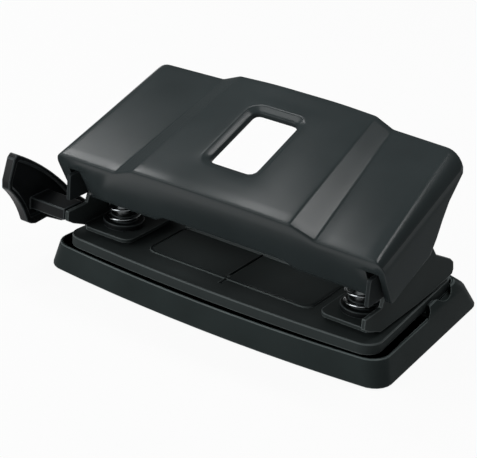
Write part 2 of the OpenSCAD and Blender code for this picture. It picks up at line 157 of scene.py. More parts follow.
def new_material(name: str) -> tuple[bpy.types.Material, bpy.types.NodeTree]:
    """Makes an empty node material.

    Args:
        name: the material's name.

    Returns:
        The material and its tree, with no nodes yet.
    """
    material = bpy.data.materials.new(name)
    material.use_nodes = True
    material.node_tree.nodes.clear()
    return material, material.node_tree


@dataclass(frozen=True)
class StoveEnamel:
    """Satin stove enamel sprayed on pressed steel.

    It gives the eye a deep even colour with a soft wide highlight, a faint orange peel
    and a slightly paler line painted along rounded edges as a highlight.

    Attributes:
        name: the material's name.
        colour: the coat's colour.
        edge_highlight: its paler colour on rounded edges, a painted highlight.
        roughness, specular: gloss of the coat.
        dry: roughness of upright faces, which the spray from above reaches as a drier coat.
        wet_from: Z of a face's normal where the coat starts to be wet, and where it is fully so.
        gloss_spread: how far the roughness strays to each side.
        ior: refractive index of the resin.
        peel_mm, peel_height_mm: spacing and height of the orange peel, drawn coarse enough to show.
        cloud_mm, cloud_spread: size of the faint clouds in the coat, and how far they shade it.
    """

    name: str
    colour: str
    edge_highlight: str
    roughness: float
    specular: float
    dry: float
    wet_from: Pair = (0.12, 0.4)
    gloss_spread: float = 0.03
    ior: float = 1.5
    peel_mm: float = 1.1
    peel_height_mm: float = 0.004
    cloud_mm: float = 26.0
    cloud_spread: float = 0.1

    def edge_finish(self) -> StoveEnamel:
        """Returns the finish of the piece's rounded edges, with the paler colour painted as a highlight."""
        # The paler edge colour is a painted highlight.
        return replace(self, name=f"{self.name}_edge_highlight", colour=self.edge_highlight, dry=self.roughness)

    def build(self) -> bpy.types.Material:
        """Makes the material.

        Returns:
            The material, under the finish's name.
        """
        material, tree = new_material(self.name)
        own = add_node(tree, "ShaderNodeTexCoord")
        place = own.outputs["Object"]
        cloud = add_node(tree, "ShaderNodeTexNoise", {"Scale": per_metre(self.cloud_mm), "Detail": 3.0},
                         {"Vector": place})
        shade = add_node(tree, "ShaderNodeMapRange",
                         NOISE_SPAN | {"To Min": 1 - self.cloud_spread, "To Max": 1 + self.cloud_spread},
                         {"Value": cloud})
        body = add_node(tree, "ShaderNodeMix", {"Factor": 1.0, "A": linear(self.colour)}, {"B": shade},
                        data_type="RGBA", blend_type="MULTIPLY")
        gloss = add_node(tree, "ShaderNodeMapRange",
                         NOISE_SPAN | {"To Min": self.roughness - self.gloss_spread,
                                       "To Max": self.roughness + self.gloss_spread}, {"Value": cloud})
        lie = add_node(tree, "ShaderNodeSeparateXYZ", None, {"Vector": own.outputs["Normal"]})
        level = add_node(tree, "ShaderNodeMath", None, {0: lie.outputs["Z"]}, operation="ABSOLUTE")
        dry_z, wet_z = self.wet_from
        wet = add_node(tree, "ShaderNodeMapRange", {"From Min": dry_z, "From Max": wet_z}, {"Value": level})
        coat = add_node(tree, "ShaderNodeMix", {"A": self.dry}, {"Factor": wet, "B": gloss},
                        data_type="FLOAT")
        peel = add_node(tree, "ShaderNodeTexNoise", {"Scale": per_metre(self.peel_mm), "Detail": 2.0},
                        {"Vector": place})
        bump = add_node(tree, "ShaderNodeBump", {"Strength": 1.0, "Distance": self.peel_height_mm * MM},
                        {"Height": peel})
        shader = add_node(tree, "ShaderNodeBsdfPrincipled",
                          {"IOR": self.ior, "Specular IOR Level": self.specular},
                          {"Base Color": body, "Roughness": coat, "Normal": bump})
        add_node(tree, "ShaderNodeOutputMaterial", None, {"Surface": shader})
        return material


@dataclass(frozen=True)
class MouldedAbs:
    """Black ABS moulded in a spark-eroded tool.

    It gives the eye a soft dark face with a fine dull grain and no clear reflection, and a shinier
    line along edges that hands have polished, painted paler as a highlight.

    Attributes:
        name: the material's name.
        colour: the plastic's colour.
        painted_edge_highlight: its paler colour on rounded edges, a painted highlight.
        roughness, specular: gloss of the moulded face.
        rubbed_roughness, rubbed_specular: gloss of the rounded edges.
        gloss_spread: how far the grain moves the roughness down and up.
        ior: refractive index of the plastic.
        grain_mm, grain_height_mm: size and height of the tool's grain, drawn coarse enough to show.
        flow_mm, flow_spread: size of the faint flow marks, and how far they shade the face.
    """

    name: str
    colour: str
    painted_edge_highlight: str
    roughness: float
    specular: float
    rubbed_roughness: float = 0.34
    rubbed_specular: float = 0.1
    gloss_spread: Pair = (-0.05, 0.06)
    ior: float = 1.53
    grain_mm: float = 0.55
    grain_height_mm: float = 0.006
    flow_mm: float = 18.0
    flow_spread: float = 0.12

    def edge_finish(self) -> MouldedAbs:
        """Returns the finish of the piece's rounded edges: glossier, with the paler colour painted as a
        highlight.
        """
        # The paler edge colour is a painted highlight; the lower roughness and higher specular are the
        # edges' gloss.
        return replace(self, name=f"{self.name}_edge_gloss_and_highlight", colour=self.painted_edge_highlight,
                       roughness=self.rubbed_roughness, specular=self.rubbed_specular)

    def build(self) -> bpy.types.Material:
        """Makes the material.

        Returns:
            The material, under the finish's name.
        """
        material, tree = new_material(self.name)
        place = add_node(tree, "ShaderNodeTexCoord").outputs["Object"]
        grain = add_node(tree, "ShaderNodeTexVoronoi", {"Scale": per_metre(self.grain_mm)},
                         {"Vector": place}, feature="SMOOTH_F1")
        flow = add_node(tree, "ShaderNodeTexNoise", {"Scale": per_metre(self.flow_mm), "Detail": 4.0},
                        {"Vector": place})
        shade = add_node(tree, "ShaderNodeMapRange",
                         NOISE_SPAN | {"To Min": 1 - self.flow_spread, "To Max": 1 + self.flow_spread},
                         {"Value": flow})
        body = add_node(tree, "ShaderNodeMix", {"Factor": 1.0, "A": linear(self.colour)}, {"B": shade},
                        data_type="RGBA", blend_type="MULTIPLY")
        gloss = add_node(tree, "ShaderNodeMapRange",
                         {"To Min": self.roughness + self.gloss_spread[0],
                          "To Max": self.roughness + self.gloss_spread[1]}, {"Value": grain})
        bump = add_node(tree, "ShaderNodeBump", {"Strength": 0.8, "Distance": self.grain_height_mm * MM},
                        {"Height": grain})
        shader = add_node(tree, "ShaderNodeBsdfPrincipled",
                          {"IOR": self.ior, "Specular IOR Level": self.specular},
                          {"Base Color": body, "Roughness": gloss, "Normal": bump})
        add_node(tree, "ShaderNodeOutputMaterial", None, {"Surface": shader})
        return material


@dataclass(frozen=True)
class WorkedSteel:
    """Bare steel that was ground, drawn or blacked.

    It gives the eye a grey metal whose highlight is pulled out across fine tool lines.

    Attributes:
        name: the material's name.
        colour, dull: the metal's colour, and where its oxide or oil dulls it.
        roughness: gloss between the tool lines.
        grain: which way the tool lines run.
        line_mm, line_depth_mm: spacing and depth of the tool lines, drawn coarse enough to show.
        line_stretch: how many times longer than wide a tool line is.
        gloss_spread: how far the tool lines move the roughness down and up.
        patch_mm: size of the dull patches.
    """

    name: str
    colour: str
    dull: str
    roughness: float
    grain: Grain
    line_mm: float = 0.35
    line_depth_mm: float = 0.01
    line_stretch: float = 30.0
    gloss_spread: Pair = (-0.08, 0.1)
    patch_mm: float = 4.0

    def edge_finish(self) -> WorkedSteel:
        """Returns the finish of the piece's rounded edges, which is the same."""
        return self

    def build(self) -> bpy.types.Material:
        """Makes the material, with a metal's default IOR.

        Returns:
            The material, under the finish's name.
        """
        material, tree = new_material(self.name)
        place = add_node(tree, "ShaderNodeTexCoord").outputs["Object"]
        fine = per_metre(self.line_mm)
        coarse = fine / self.line_stretch
        stretch = {Grain.ROUND: (coarse, coarse, fine), Grain.ALONG_X: (coarse, fine, fine),
                   Grain.ALONG_Z: (fine, fine, coarse)}[self.grain]
        drawn = add_node(tree, "ShaderNodeMapping", {"Scale": stretch}, {"Vector": place})
        lines = add_node(tree, "ShaderNodeTexNoise", {"Scale": 1.0, "Detail": 2.0}, {"Vector": drawn})
        patch = add_node(tree, "ShaderNodeTexNoise", {"Scale": per_metre(self.patch_mm), "Detail": 4.0},
                         {"Vector": place})
        body = add_node(tree, "ShaderNodeMix", {"A": linear(self.colour), "B": linear(self.dull)},
                        {"Factor": patch}, data_type="RGBA")
        gloss = add_node(tree, "ShaderNodeMapRange",
                         NOISE_SPAN | {"To Min": self.roughness + self.gloss_spread[0],
                                       "To Max": self.roughness + self.gloss_spread[1]}, {"Value": lines})
        bump = add_node(tree, "ShaderNodeBump", {"Strength": 0.35, "Distance": self.line_depth_mm * MM},
                        {"Height": lines})
        shader = add_node(tree, "ShaderNodeBsdfPrincipled", {"Metallic": 1.0},
                          {"Base Color": body, "Roughness": gloss, "Normal": bump})
        add_node(tree, "ShaderNodeOutputMaterial", None, {"Surface": shader})
        return material


Finish = StoveEnamel | MouldedAbs | WorkedSteel

# The second colour of each enamel and moulding is painted on its rounded edges as a highlight.
# Satin charcoal enamel of the lever: deep grey with clear soft bands of light
LEVER_ENAMEL = StoveEnamel("charcoal_stove_enamel", "#2c3233", "#3b4142", 0.2, 0.12, 0.75)
# Flatter black enamel of the plate and the brackets: dark, with a wide faint highlight
PLATE_ENAMEL = StoveEnamel("black_stove_enamel", "#2e3333", "#4e5454", 0.4, 0.06, 0.75)
# Oiled phosphate coat of the hinge posts, which lies as an enamel does: near black and dull
POST_COAT = StoveEnamel("phosphated_sheet_steel", "#25292a", "#3c4142", 0.5, 0.06, 0.8)
# ABS moulding of the tray: dark and grained, with almost no highlight
TRAY_ABS = MouldedAbs("tray_black_abs", "#292f2f", "#4f5757", 0.5, 0.018)
# ABS moulding of the stop and the bushes: blacker and a little glossier
STOP_ABS = MouldedAbs("stop_black_abs", "#141617", "#34393a", 0.32, 0.08)
# Ground pins, dulled by oil: mid grey with rings of light
PIN_STEEL = WorkedSteel("ground_tool_steel", "#6d7071", "#575a5b", 0.3, Grain.ROUND)
# Blacked sheet of the cups, clips and noses: dark metal with a broad dull highlight
BLACKED_STEEL = WorkedSteel("blacked_sheet_steel", "#262829", "#1b1d1e", 0.55, Grain.ALONG_Z)
# Bright drawn wire of the springs: light grey with a sharp highlight along each curl
WIRE_STEEL = WorkedSteel("bright_spring_wire", "#94989a", "#7d8183", 0.14, Grain.ALONG_X, line_mm=0.2)
# Rivets with formed heads: light grey with fine rings
RIVET_STEEL = WorkedSteel("headed_rivet_steel", "#8d9091", "#747778", 0.32, Grain.ROUND)


def shade_smooth() -> bpy.types.NodeTree:
    """Finds the node group that shades a mesh smooth, and makes it on first use.

    Returns:
        The node group.
    """
    name = "shade_smooth"
    tree = bpy.data.node_groups.get(name)
    if tree is None:
        tree = bpy.data.node_groups.new(name, "GeometryNodeTree")
        for way in ("INPUT", "OUTPUT"):
            tree.interface.new_socket("Geometry", in_out=way, socket_type="NodeSocketGeometry")
        came = add_node(tree, "NodeGroupInput")
        soft = add_node(tree, "GeometryNodeSetShadeSmooth", None, {"Geometry": came})
        add_node(tree, "NodeGroupOutput", None, {"Geometry": soft})
    return tree


@dataclass(frozen=True)
class EdgeRound:
    """Rounds along a piece's edges, made by modifiers so that a CAD node's mesh stays as it is.

    Attributes:
        width_mm: width of the round.
        sharper_deg: edges that turn by more than this get it.
        segments: faces across it.
        even: True where large flat faces keep their own shading beside full rounds, False on a
            curved sheet, where a round gets narrower before it crosses another.
        weld_mm: points of a CAD mesh that are closer than this become one.
        flat_deg: faces of a CAD mesh that turn by less than this become one.
        face_weight: how strongly a large face holds its shading, where even is True.
    """

    width_mm: float
    sharper_deg: float = 24.0
    segments: int = 3
    even: bool = True
    weld_mm: float = 0.004
    flat_deg: float = 0.2
    face_weight: int = 80

    def apply(self, obj: bpy.types.Object) -> None:
        """Cleans a CAD mesh and rounds it.

        Args:
            obj: the node's object.
        """
        weld = obj.modifiers.new("weld", "WELD")
        weld.merge_threshold = self.weld_mm * MM
        flat = obj.modifiers.new("flat", "DECIMATE")
        flat.decimate_type = "DISSOLVE"
        flat.angle_limit = math.radians(self.flat_deg)
        obj.modifiers.new("smooth", "NODES").node_group = shade_smooth()
        self.round_off(obj)

    def round_off(self, obj: bpy.types.Object) -> None:
        """Rounds a mesh that is already clean.

        Args:
            obj: the piece's object.
        """
        bevel = obj.modifiers.new(EDGE, "BEVEL")
        bevel.width = self.width_mm * MM
        bevel.segments = self.segments
        bevel.limit_method = "ANGLE"
        bevel.angle_limit = math.radians(self.sharper_deg)
        bevel.miter_outer = "MITER_ARC"
        bevel.use_clamp_overlap = not self.even
        if self.even:
            even = obj.modifiers.new("even", "WEIGHTED_NORMAL")
            even.keep_sharp = True
            even.weight = self.face_weight


class Workshop:
    """Dresses pieces, and keeps one material per finish, so that they share it."""

    def __init__(self) -> None:
        """Starts with no materials."""
        self.made: dict[str, bpy.types.Material] = {}

    def paint(self, obj: bpy.types.Object, finish: Finish) -> None:
        """Puts a finish on an object, and its edge form on the object's rounded edges, where enamel and
        plastic get a paler colour painted as a highlight.

        Args:
            obj: the object, with its edges already rounded.
            finish: its finish, made on first use.
        """
        edge = obj.modifiers.get(EDGE)
        # Rounded edges of enamel and plastic take a paler colour, painted as a highlight.
        coats = [finish] if edge is None else [finish, finish.edge_finish()]
        obj.data.materials.clear()
        for coat in coats:
            if coat.name not in self.made:
                self.made[coat.name] = coat.build()
            obj.data.materials.append(self.made[coat.name])
        if edge is not None:
            edge.material = len(coats) - 1

    def dress(self, group: str, obj: bpy.types.Object, finish: Finish, edge: EdgeRound) -> None:
        """Rounds and paints one CAD node, and reports it.

        Args:
            group: the sub-assembly that it belongs to.
            obj: the node's object.
            finish: its finish.
            edge: its rounds.
        """
        edge.apply(obj)
        self.paint(obj, finish)
        LOG.info("%s: %s in %s", group, obj.name, finish.name)


def drawn_piece(name: str, mesh: bmesh.types.BMesh) -> bpy.types.Object:
    """Turns a drawn mesh into a smooth piece of the scene.

    Args:
        name: the piece's name.
        mesh: the mesh in metres, which is freed.

    Returns:
        The piece's object.
    """
    data = bpy.data.meshes.new(name)
    mesh.to_mesh(data)
    mesh.free()
    data.polygons.foreach_set("use_smooth", [True] * len(data.polygons))
    piece = bpy.data.objects.new(name, data)
    bpy.context.scene.collection.objects.link(piece)
    return piece


def join_rings(mesh: bmesh.types.BMesh, one: Verts, two: Verts) -> None:
    """Joins two closed rings of points by a band of faces.

    Args:
        mesh: takes the faces.
        one: the first ring.
        two: the second ring, with as many points.
    """
    for k in range(len(one)):
        n = (k + 1) % len(one)
        mesh.faces.new((one[k], one[n], two[n], two[k]))


def between(a: Point, b: Point, part: float) -> Point:
    """Returns the point a part of the way from a to b."""
    return (a[0] + (b[0] - a[0]) * part, a[1] + (b[1] - a[1]) * part)


def towards(a: Point, b: Point, length: float) -> Point:
    """Returns the point that lies length from a on the way to b."""
    return between(a, b, length / math.dist(a, b))


def fold(before: Point, corner: Point, after: Point, reach: float, steps: int) -> list[Point]:
    """Rounds one corner of a section.

    Args:
        before, corner, after: three corners in a row, of which the middle one is rounded.
        reach: how far the round reaches to each side.
        steps: number of its steps.

    Returns:
        Points along the round, both ends included.
    """
    start, end = towards(corner, before, reach), towards(corner, after, reach)
    line = [i / steps for i in range(steps + 1)]
    return [between(between(start, corner, t), between(corner, end, t), t) for t in line]


@dataclass
class Base:
    """The chip tray, the base plate and what is fixed to them.

    Attributes:
        tray_edge, bush_edge: rounds of the moulded tray and bushes.
        plate_edge: rounds of the pressed plate.
        bracket_edge, post_edge: rounds of the sheared brackets and hinge posts.
        rivet_edge: rounds of the formed rivet heads.
    """

    tray_edge: EdgeRound = EdgeRound(0.32, 38.0)
    plate_edge: EdgeRound = EdgeRound(0.4)
    bracket_edge: EdgeRound = EdgeRound(0.25)
    post_edge: EdgeRound = EdgeRound(0.2)
    bush_edge: EdgeRound = EdgeRound(0.3)
    rivet_edge: EdgeRound = EdgeRound(0.15)

    def build(self, shop: Workshop, nodes: Nodes) -> None:
        """Dresses the base's nodes.

        Args:
            shop: the materials.
            nodes: the frame's nodes by name.
        """
        shop.dress("base", nodes["base_tray"], TRAY_ABS, self.tray_edge)
        shop.dress("base", nodes["base_plate"], PLATE_ENAMEL, self.plate_edge)
        shop.dress("base", nodes["bracket_rivets"], RIVET_STEEL, self.rivet_edge)
        for side in Side:
            shop.dress("base", nodes[f"bracket_{side.value}"], PLATE_ENAMEL, self.bracket_edge)
            shop.dress("base", nodes[f"post_{side.value}"], POST_COAT, self.post_edge)
            shop.dress("base", nodes[f"bush_{side.value}"], STOP_ABS, self.bush_edge)


@dataclass
class Lever:
    """The lever cover, drawn as one bent sheet with a funnel window, and the two noses under it.

    The sheet is ruled by straight lines from its front fold to its rear or cut edge. All sizes
    are in mm, and pairs of them are for the front and the rear section unless said otherwise.

    Attributes:
        sheet: thickness of the sheet.
        flange_low, flange_y, flange_lean: lower edge of the front flange, its Y there and its lean.
        arch_x, arch_up: half widths of the flange's shallow arch at its foot and top, and its height.
        slot_x, slot_top: sides and top of the gaps for the hinge posts.
        over_slot, under_slot: rows of faces above and below the top of those gaps.
        rear_y: the rear edge.
        cheek_x, left_more: half widths over the cheeks, and the extra width on the left.
        wing_z, wing_stops: heights of the wings, and parts of their width at which lines run.
        corner, corner_deg: the round shoulders' widths and heights, and angles at which lines run.
        foot_x, foot_up: feet of the ramps, and their rise over the wings.
        brow_x, brow_up: tops of the ramps, and their rise over the step.
        ramp_reach, ramp_steps: reach and steps of the rounds at the ramps' feet and tops.
        crown_x, step, crown: flat middle, and its rise in two parts.
        crown_reach, crown_steps: reach and steps of the soft bend beside the flat middle.
        middle_steps, crown_stops: steps across the flat middle, and parts of the way from the
            soft bend to the ramp at which lines run.
        cut, cut_steps: lower and rear edge of the cheeks, as Y and Z, and the steps along a line
            in which it is looked for.
        cheek_band: how far inside the cheeks' face a line can still meet that edge.
        bend, bend_steps: reach of the front fold's round along the top and along the cheeks, and
            its steps.
        bend_most: largest part of a line that this round takes.
        window: X of the window's middle, Y of its front, half width, length and corner radius.
        front_rows, window_rows, rear_rows: points along a line before the window, their number
            beside it, and points behind it, as parts of the line.
        window_part: where the window starts along a line and how far it runs, as parts of the line.
        lip, lip_corner: the lip's inset at its sides and ends, and its drop, from the outside in,
            and the least radius of its corners.
        lip_far, lip_halvings: longest way out to the lip, and how often it is halved to find it.
        rim_edge, press_edge: rounds of the sheared rim and of the noses.
    """

    sheet: float = 1.2
    flange_low: float = 23.2
    flange_y: float = -7.8
    flange_lean: float = 8.2 / 14
    arch_x: Pair = (22.67, 20.0)
    arch_up: float = 2.0
    slot_x: Pair = (46.5, 50.3)
    slot_top: float = 32.7
    over_slot: int = 2
    under_slot: int = 6
    rear_y: float = 30.0
    cheek_x: Pair = (52.4, 51.0)
    left_more: Pair = (1.5, 2.7)
    wing_z: Pair = (37.4, 53.5)
    wing_stops: Triple = (0.2, 0.4, 0.6)
    corner: tuple[Pair, Pair] = ((2.6, 4.2), (6.2, 7.0))
    corner_deg: tuple[int, ...] = (90, 80, 70, 60, 48, 36, 24, 12, 0)
    foot_x: Pair = (32.2, 28.3)
    foot_up: Pair = (0.1, 0.5)
    brow_x: Pair = (25.3, 22.6)
    brow_up: Pair = (0.1, -0.1)
    ramp_reach: float = 0.6
    ramp_steps: int = 4
    crown_x: Pair = (12.0, 11.0)
    step: float = 3.0
    crown: float = 0.5
    crown_reach: float = 5.0
    crown_steps: int = 5
    middle_steps: int = 5
    crown_stops: Pair = (0.43, 0.81)
    cut: tuple[Point, ...] = (
        (-6.2, 23.2), (-6.0, 23.55), (15.4, 29.2), (17.2, 33.4), (19.2, 37.2), (21.1, 40.6),
        (23.3, 43.2), (25.9, 45.2), (28.6, 46.6), (29.4, 47.6), (29.7, 49.0), (30.0, 49.1))
    cut_steps: int = 400
    cheek_band: float = 4.0
    bend: Pair = (0.9, 0.35)
    bend_steps: int = 5
    bend_most: float = 0.8
    window: tuple[float, float, float, float, float] = (-1.9, -7.5, 9.5, 29.2, 4.2)
    front_rows: tuple[float, ...] = (0.07,)
    window_rows: int = 26
    rear_rows: tuple[float, ...] = (0.91, 0.96, 1.0)
    window_part: Pair = (0.13, 0.732)
    lip: tuple[Triple, ...] = (
        (-0.5, -0.5, 0.0), (0.0, 0.0, 0.04), (0.25, 0.32, 0.13), (1.0, 1.28, 0.47), (1.7, 2.15, 0.8),
        (1.95, 2.38, 1.02), (2.2, 2.5, 1.5), (2.4, 2.6, 2.2))
    lip_corner: float = 1.6
    lip_far: float = 40.0
    lip_halvings: int = 40
    rim_edge: EdgeRound = EdgeRound(0.22, 60.0, 2, False)
    press_edge: EdgeRound = EdgeRound(0.25)

    @property
    def cheek_rows(self) -> int:
        """Returns the number of lines on a cheek, below its shoulder."""
        return self.over_slot + self.under_slot

    def front(self, z: float) -> float:
        """Returns the Y of the leaning flange at a height."""
        return self.flange_y - (z - self.flange_low) * self.flange_lean

    def low_edge(self, x: float) -> float:
        """Returns the height of the flange's lower edge at an X."""
        foot, top = self.arch_x
        return self.flange_low + self.arch_up * min(1.0, max(0.0, (foot - abs(x)) / (foot - top)))

    def heights(self, top: float, low: float) -> list[float]:
        """Divides the flange or a cheek from the front fold down.

        Args:
            top: height of the fold.
            low: height of the lower edge.

        Returns:
            Heights below the fold, to the top of the post gaps and on to the lower edge.
        """
        over = [top + (self.slot_top - top) * k / self.over_slot for k in range(1, self.over_slot + 1)]
        drop = low - self.slot_top
        return over + [self.slot_top + drop * k / self.under_slot for k in range(1, self.under_slot + 1)]

    def shoulder(self, end: int, side: Side) -> Point:
        """Returns the corner where a section's wing meets its round shoulder."""
        more = self.left_more[end] if side is Side.LEFT else 0.0
        return (self.cheek_x[end] - self.corner[end][0] + more, self.wing_z[end])

    def foot(self, end: int) -> Point:
        """Returns the corner at the foot of a section's ramp."""
        return (self.foot_x[end], self.wing_z[end] + self.foot_up[end])

    def brow(self, end: int) -> Point:
        """Returns the corner at the top of a section's ramp."""
        return (self.brow_x[end], self.wing_z[end] + self.step + self.brow_up[end])

    def ramp_foot(self, end: int, side: Side) -> list[Point]:
        """Returns the round at the foot of a section's ramp."""
        wing_end = self.shoulder(end, side)
        return fold(self.brow(end), self.foot(end), wing_end, self.ramp_reach, self.ramp_steps)

    def section(self, end: int, side: Side) -> list[Point]:
        """Draws half of a section, from the middle out to the foot of the shoulder.

        Args:
            end: 0 for the front section, 1 for the rear.
            side: which half.

        Returns:
            Points as X out from the middle and Z.
        """
        top = self.wing_z[end] + self.step + self.crown
        middle, crown = (0.0, top), (self.crown_x[end], top)
        soft = fold(middle, crown, self.brow(end), self.crown_reach, self.crown_steps)
        upper = fold(crown, self.brow(end), self.foot(end), self.ramp_reach, self.ramp_steps)
        lower = self.ramp_foot(end, side)
        points = [between(middle, soft[0], i / self.middle_steps) for i in range(self.middle_steps)] + soft
        points += [between(soft[-1], upper[0], part) for part in self.crown_stops] + upper
        points += [between(upper[-1], lower[0], 0.5)] + lower
        # Lines also run at the sides of the post gaps, which are measured on the front section
        first, last = self.ramp_foot(0, side)[-1][0], self.shoulder(0, side)[0]
        gaps = [(x - first) / (last - first) for x in self.slot_x if x < last]
        wing_end = self.shoulder(end, side)
        points += [between(lower[-1], wing_end, part) for part in sorted([*self.wing_stops, *gaps])]
        wide, high = self.corner[end]
        for degrees in self.corner_deg:
            a = math.radians(degrees)
            points.append((wing_end[0] + wide * math.cos(a), wing_end[1] - high + high * math.sin(a)))
        return points

    def cut_z(self, y: float) -> float:
        """Finds the height of the cheeks' cut edge.

        Args:
            y: where along it.

        Returns:
            The height, or minus infinity in front of the edge or behind it.
        """
        for (y0, z0), (y1, z1) in zip(self.cut, self.cut[1:]):
            if y0 <= y <= y1:
                return z0 + (z1 - z0) * (y - y0) / (y1 - y0)
        return -math.inf

    def cut_part(self, a: Vector, b: Vector) -> float:
        """Finds where a line of the sheet meets the cheeks' cut edge.

        Args:
            a: the line's front end.
            b: its rear end.

        Returns:
            The part of the line in front of the edge, 1 where the two don't meet.
        """
        if a.x > self.cheek_x[0] - self.cheek_band:
            for i in range(1, self.cut_steps + 1):
                p = a.lerp(b, i / self.cut_steps)
                if p.z < self.cut_z(p.y):
                    return i / self.cut_steps
        return 1.0

    def along_cut(self, y_last: float, part: float) -> Point:
        """Finds a point on the cheeks' cut edge.

        Args:
            y_last: Y of the end of the edge that is used.
            part: how far along the edge, from 0 at its start to 1 at y_last.

        Returns:
            The point as Y and Z.
        """
        edge = [p for p in self.cut if p[0] < y_last] + [(y_last, self.cut_z(y_last))]
        left = part * sum(math.dist(a, b) for a, b in zip(edge, edge[1:]))
        for a, b in zip(edge, edge[1:]):
            if left <= math.dist(a, b):
                return towards(a, b, left)
            left -= math.dist(a, b)
        return edge[-1]

    def cheek_lines(self, last: Line, x_rear: float) -> list[Line]:
        """Draws the lines of one cheek, below its shoulder.

        Args:
            last: the shoulder's lowest line.
            x_rear: X of the cheek at the rear edge, out from the middle.

        Returns:
            The lines' two ends, from the top down.
        """
        top, y_last = last[0], last[1].y
        lines = []
        for i, z in enumerate(self.heights(top.z, self.flange_low), 1):
            y, z_end = self.along_cut(y_last, 1 - i / self.cheek_rows)
            y0 = self.front(z)
            x = top.x + (x_rear - top.x) * (y - y0) / (self.rear_y - y0)
            lines.append((Vector((top.x, y0, z)), Vector((x, y, z_end))))
        return lines

    def strips(self) -> list[Line]:
        """Draws the straight lines of the sheet from its front fold to its rear or cut edge.

        Returns:
            The lines' two ends, from the left cheek's foot to the right one's.
        """
        sheet: list[Line] = []
        for side in Side:
            half: list[Line] = []
            for (x0, z0), (x1, z1) in zip(self.section(0, side), self.section(1, side)):
                a, b = Vector((x0, self.front(z0), z0)), Vector((x1, self.rear_y, z1))
                half.append((a, a.lerp(b, self.cut_part(a, b))))
            half += self.cheek_lines(half[-1], self.section(1, side)[-1][0])
            for line in half:
                for p in line:
                    p.x *= side.sign
            sheet = half[::-1] if side is Side.LEFT else sheet + half[1:]
        return sheet

    def top_grid(self, mesh: bmesh.types.BMesh, lines: list[Line]) -> list[Verts]:
        """Places the points of the top and the cheeks, with a round along the front fold.

        Args:
            mesh: takes the points.
            lines: the sheet's straight lines.

        Returns:
            The points of each line, from the flange back.
        """
        start, run = self.window_part
        beside = [start + run * j / self.window_rows for j in range(self.window_rows + 1)]
        rows = [*self.front_rows, *beside, *self.rear_rows]
        turn = [k / self.bend_steps for k in range(self.bend_steps + 1)]
        grid = []
        for i, (a, b) in enumerate(lines):
            along = lines[min(i + 1, len(lines) - 1)][0] - lines[max(i - 1, 0)][0]
            inward = Vector((along.z, 0, -along.x)).normalized()
            reach = self.bend[0] + (self.bend[1] - self.bend[0]) * abs(inward.x)
            inward *= reach
            flat = Vector((a.x + inward.x, self.front(a.z + inward.z), a.z + inward.z))
            back = a + (b - a).normalized() * min(reach, (b - a).length * self.bend_most)
            arc = [flat.lerp(a, t).lerp(a.lerp(back, t), t) for t in turn]
            grid.append([mesh.verts.new(p) for p in arc + [back.lerp(b, r) for r in rows]])
        return grid

    def top_faces(self, mesh: bmesh.types.BMesh, grid: list[Verts], centre: int) -> Verts:
        """Joins the points of the top and the cheeks, apart from the window's opening.

        Args:
            mesh: takes the faces.
            grid: the points of each line.
            centre: which line is the middle one.

        Returns:
            The points round the opening, in order.
        """
        half_window = self.middle_steps + self.crown_steps
        left, right = centre - half_window, centre + half_window
        near = len(self.front_rows) + self.bend_steps + 1
        far = near + self.window_rows
        for i in range(len(grid) - 1):
            for j in range(len(grid[0]) - 1):
                if not (left <= i < right and near <= j < far):
                    mesh.faces.new((grid[i][j], grid[i + 1][j], grid[i + 1][j + 1], grid[i][j + 1]))
        return [*(grid[i][near] for i in range(left, right)),
                *(grid[right][j] for j in range(near, far)),
                *(grid[i][far] for i in range(right, left, -1)),
                *(grid[left][j] for j in range(far, near, -1))]

    def lip_point(self, x: float, y: float, inset: Triple) -> Vector:
        """Finds the point of one ring of the window's lip that lies in a point's direction.

        Args:
            x, y: the point.
            inset: the ring's inset at its sides and ends, and its drop.

        Returns:
            The ring's point.
        """
        middle, y0, half, length, corner = self.window
        side_in, end_in, drop = inset
        rise = self.wing_z[1] - self.wing_z[0]
        slope = math.atan(rise / (self.rear_y - self.front(self.wing_z[0])))
        way = Vector((x - middle, (y - y0) / math.cos(slope) - length / 2)).normalized()
        hx, hy, r = half - side_in, length / 2 - end_in, max(corner - side_in, self.lip_corner)
        low, high = 0.0, self.lip_far
        for _ in range(self.lip_halvings):
            reach = (low + high) / 2
            qx, qy = abs(way.x * reach) - hx + r, abs(way.y * reach) - hy + r
            inside = math.hypot(max(qx, 0), max(qy, 0)) + min(max(qx, qy), 0) < r
            low, high = (reach, high) if inside else (low, reach)
        s, t = way.x * low, way.y * low + length / 2
        fold_z = self.wing_z[0] + self.step
        fold_y = self.front(fold_z)
        z0 = fold_z + self.crown + (y0 - fold_y) * rise / (self.rear_y - fold_y)
        return Vector((middle + s, y0 + t * math.cos(slope) + drop * math.sin(slope),
                       z0 + t * math.sin(slope) - drop * math.cos(slope)))

    def lip_faces(self, mesh: bmesh.types.BMesh, ring: Verts) -> None:
        """Turns the sheet in round the window.

        Args:
            mesh: takes the lip.
            ring: the points round the opening, in order.
        """
        for inset in self.lip:
            inner = [mesh.verts.new(self.lip_point(v.co.x, v.co.y, inset)) for v in ring]
            join_rings(mesh, ring, inner)
            ring = inner

    def flange_faces(self, mesh: bmesh.types.BMesh, grid: list[Verts]) -> None:
        """Hangs the flange from the front fold, with gaps for the hinge posts.

        Args:
            mesh: takes the flange.
            grid: the points of each line.
        """
        rows = self.cheek_rows
        first, last = rows, len(grid) - 1 - rows
        columns = [[grid[first - k][0] for k in range(rows + 1)]]
        for points in grid[first + 1 : last]:
            top = points[0].co
            heights = self.heights(top.z, self.low_edge(top.x))
            columns.append([points[0]] + [mesh.verts.new((top.x, self.front(z), z)) for z in heights])
        columns.append([grid[last + k][0] for k in range(rows + 1)])
        for one, two in zip(columns, columns[1:]):
            x = abs(one[0].co.x + two[0].co.x) / 2
            for k in range(rows):
                if not (self.slot_x[0] < x < self.slot_x[1] and k >= self.over_slot):
                    mesh.faces.new((one[k], one[k + 1], two[k + 1], two[k]))

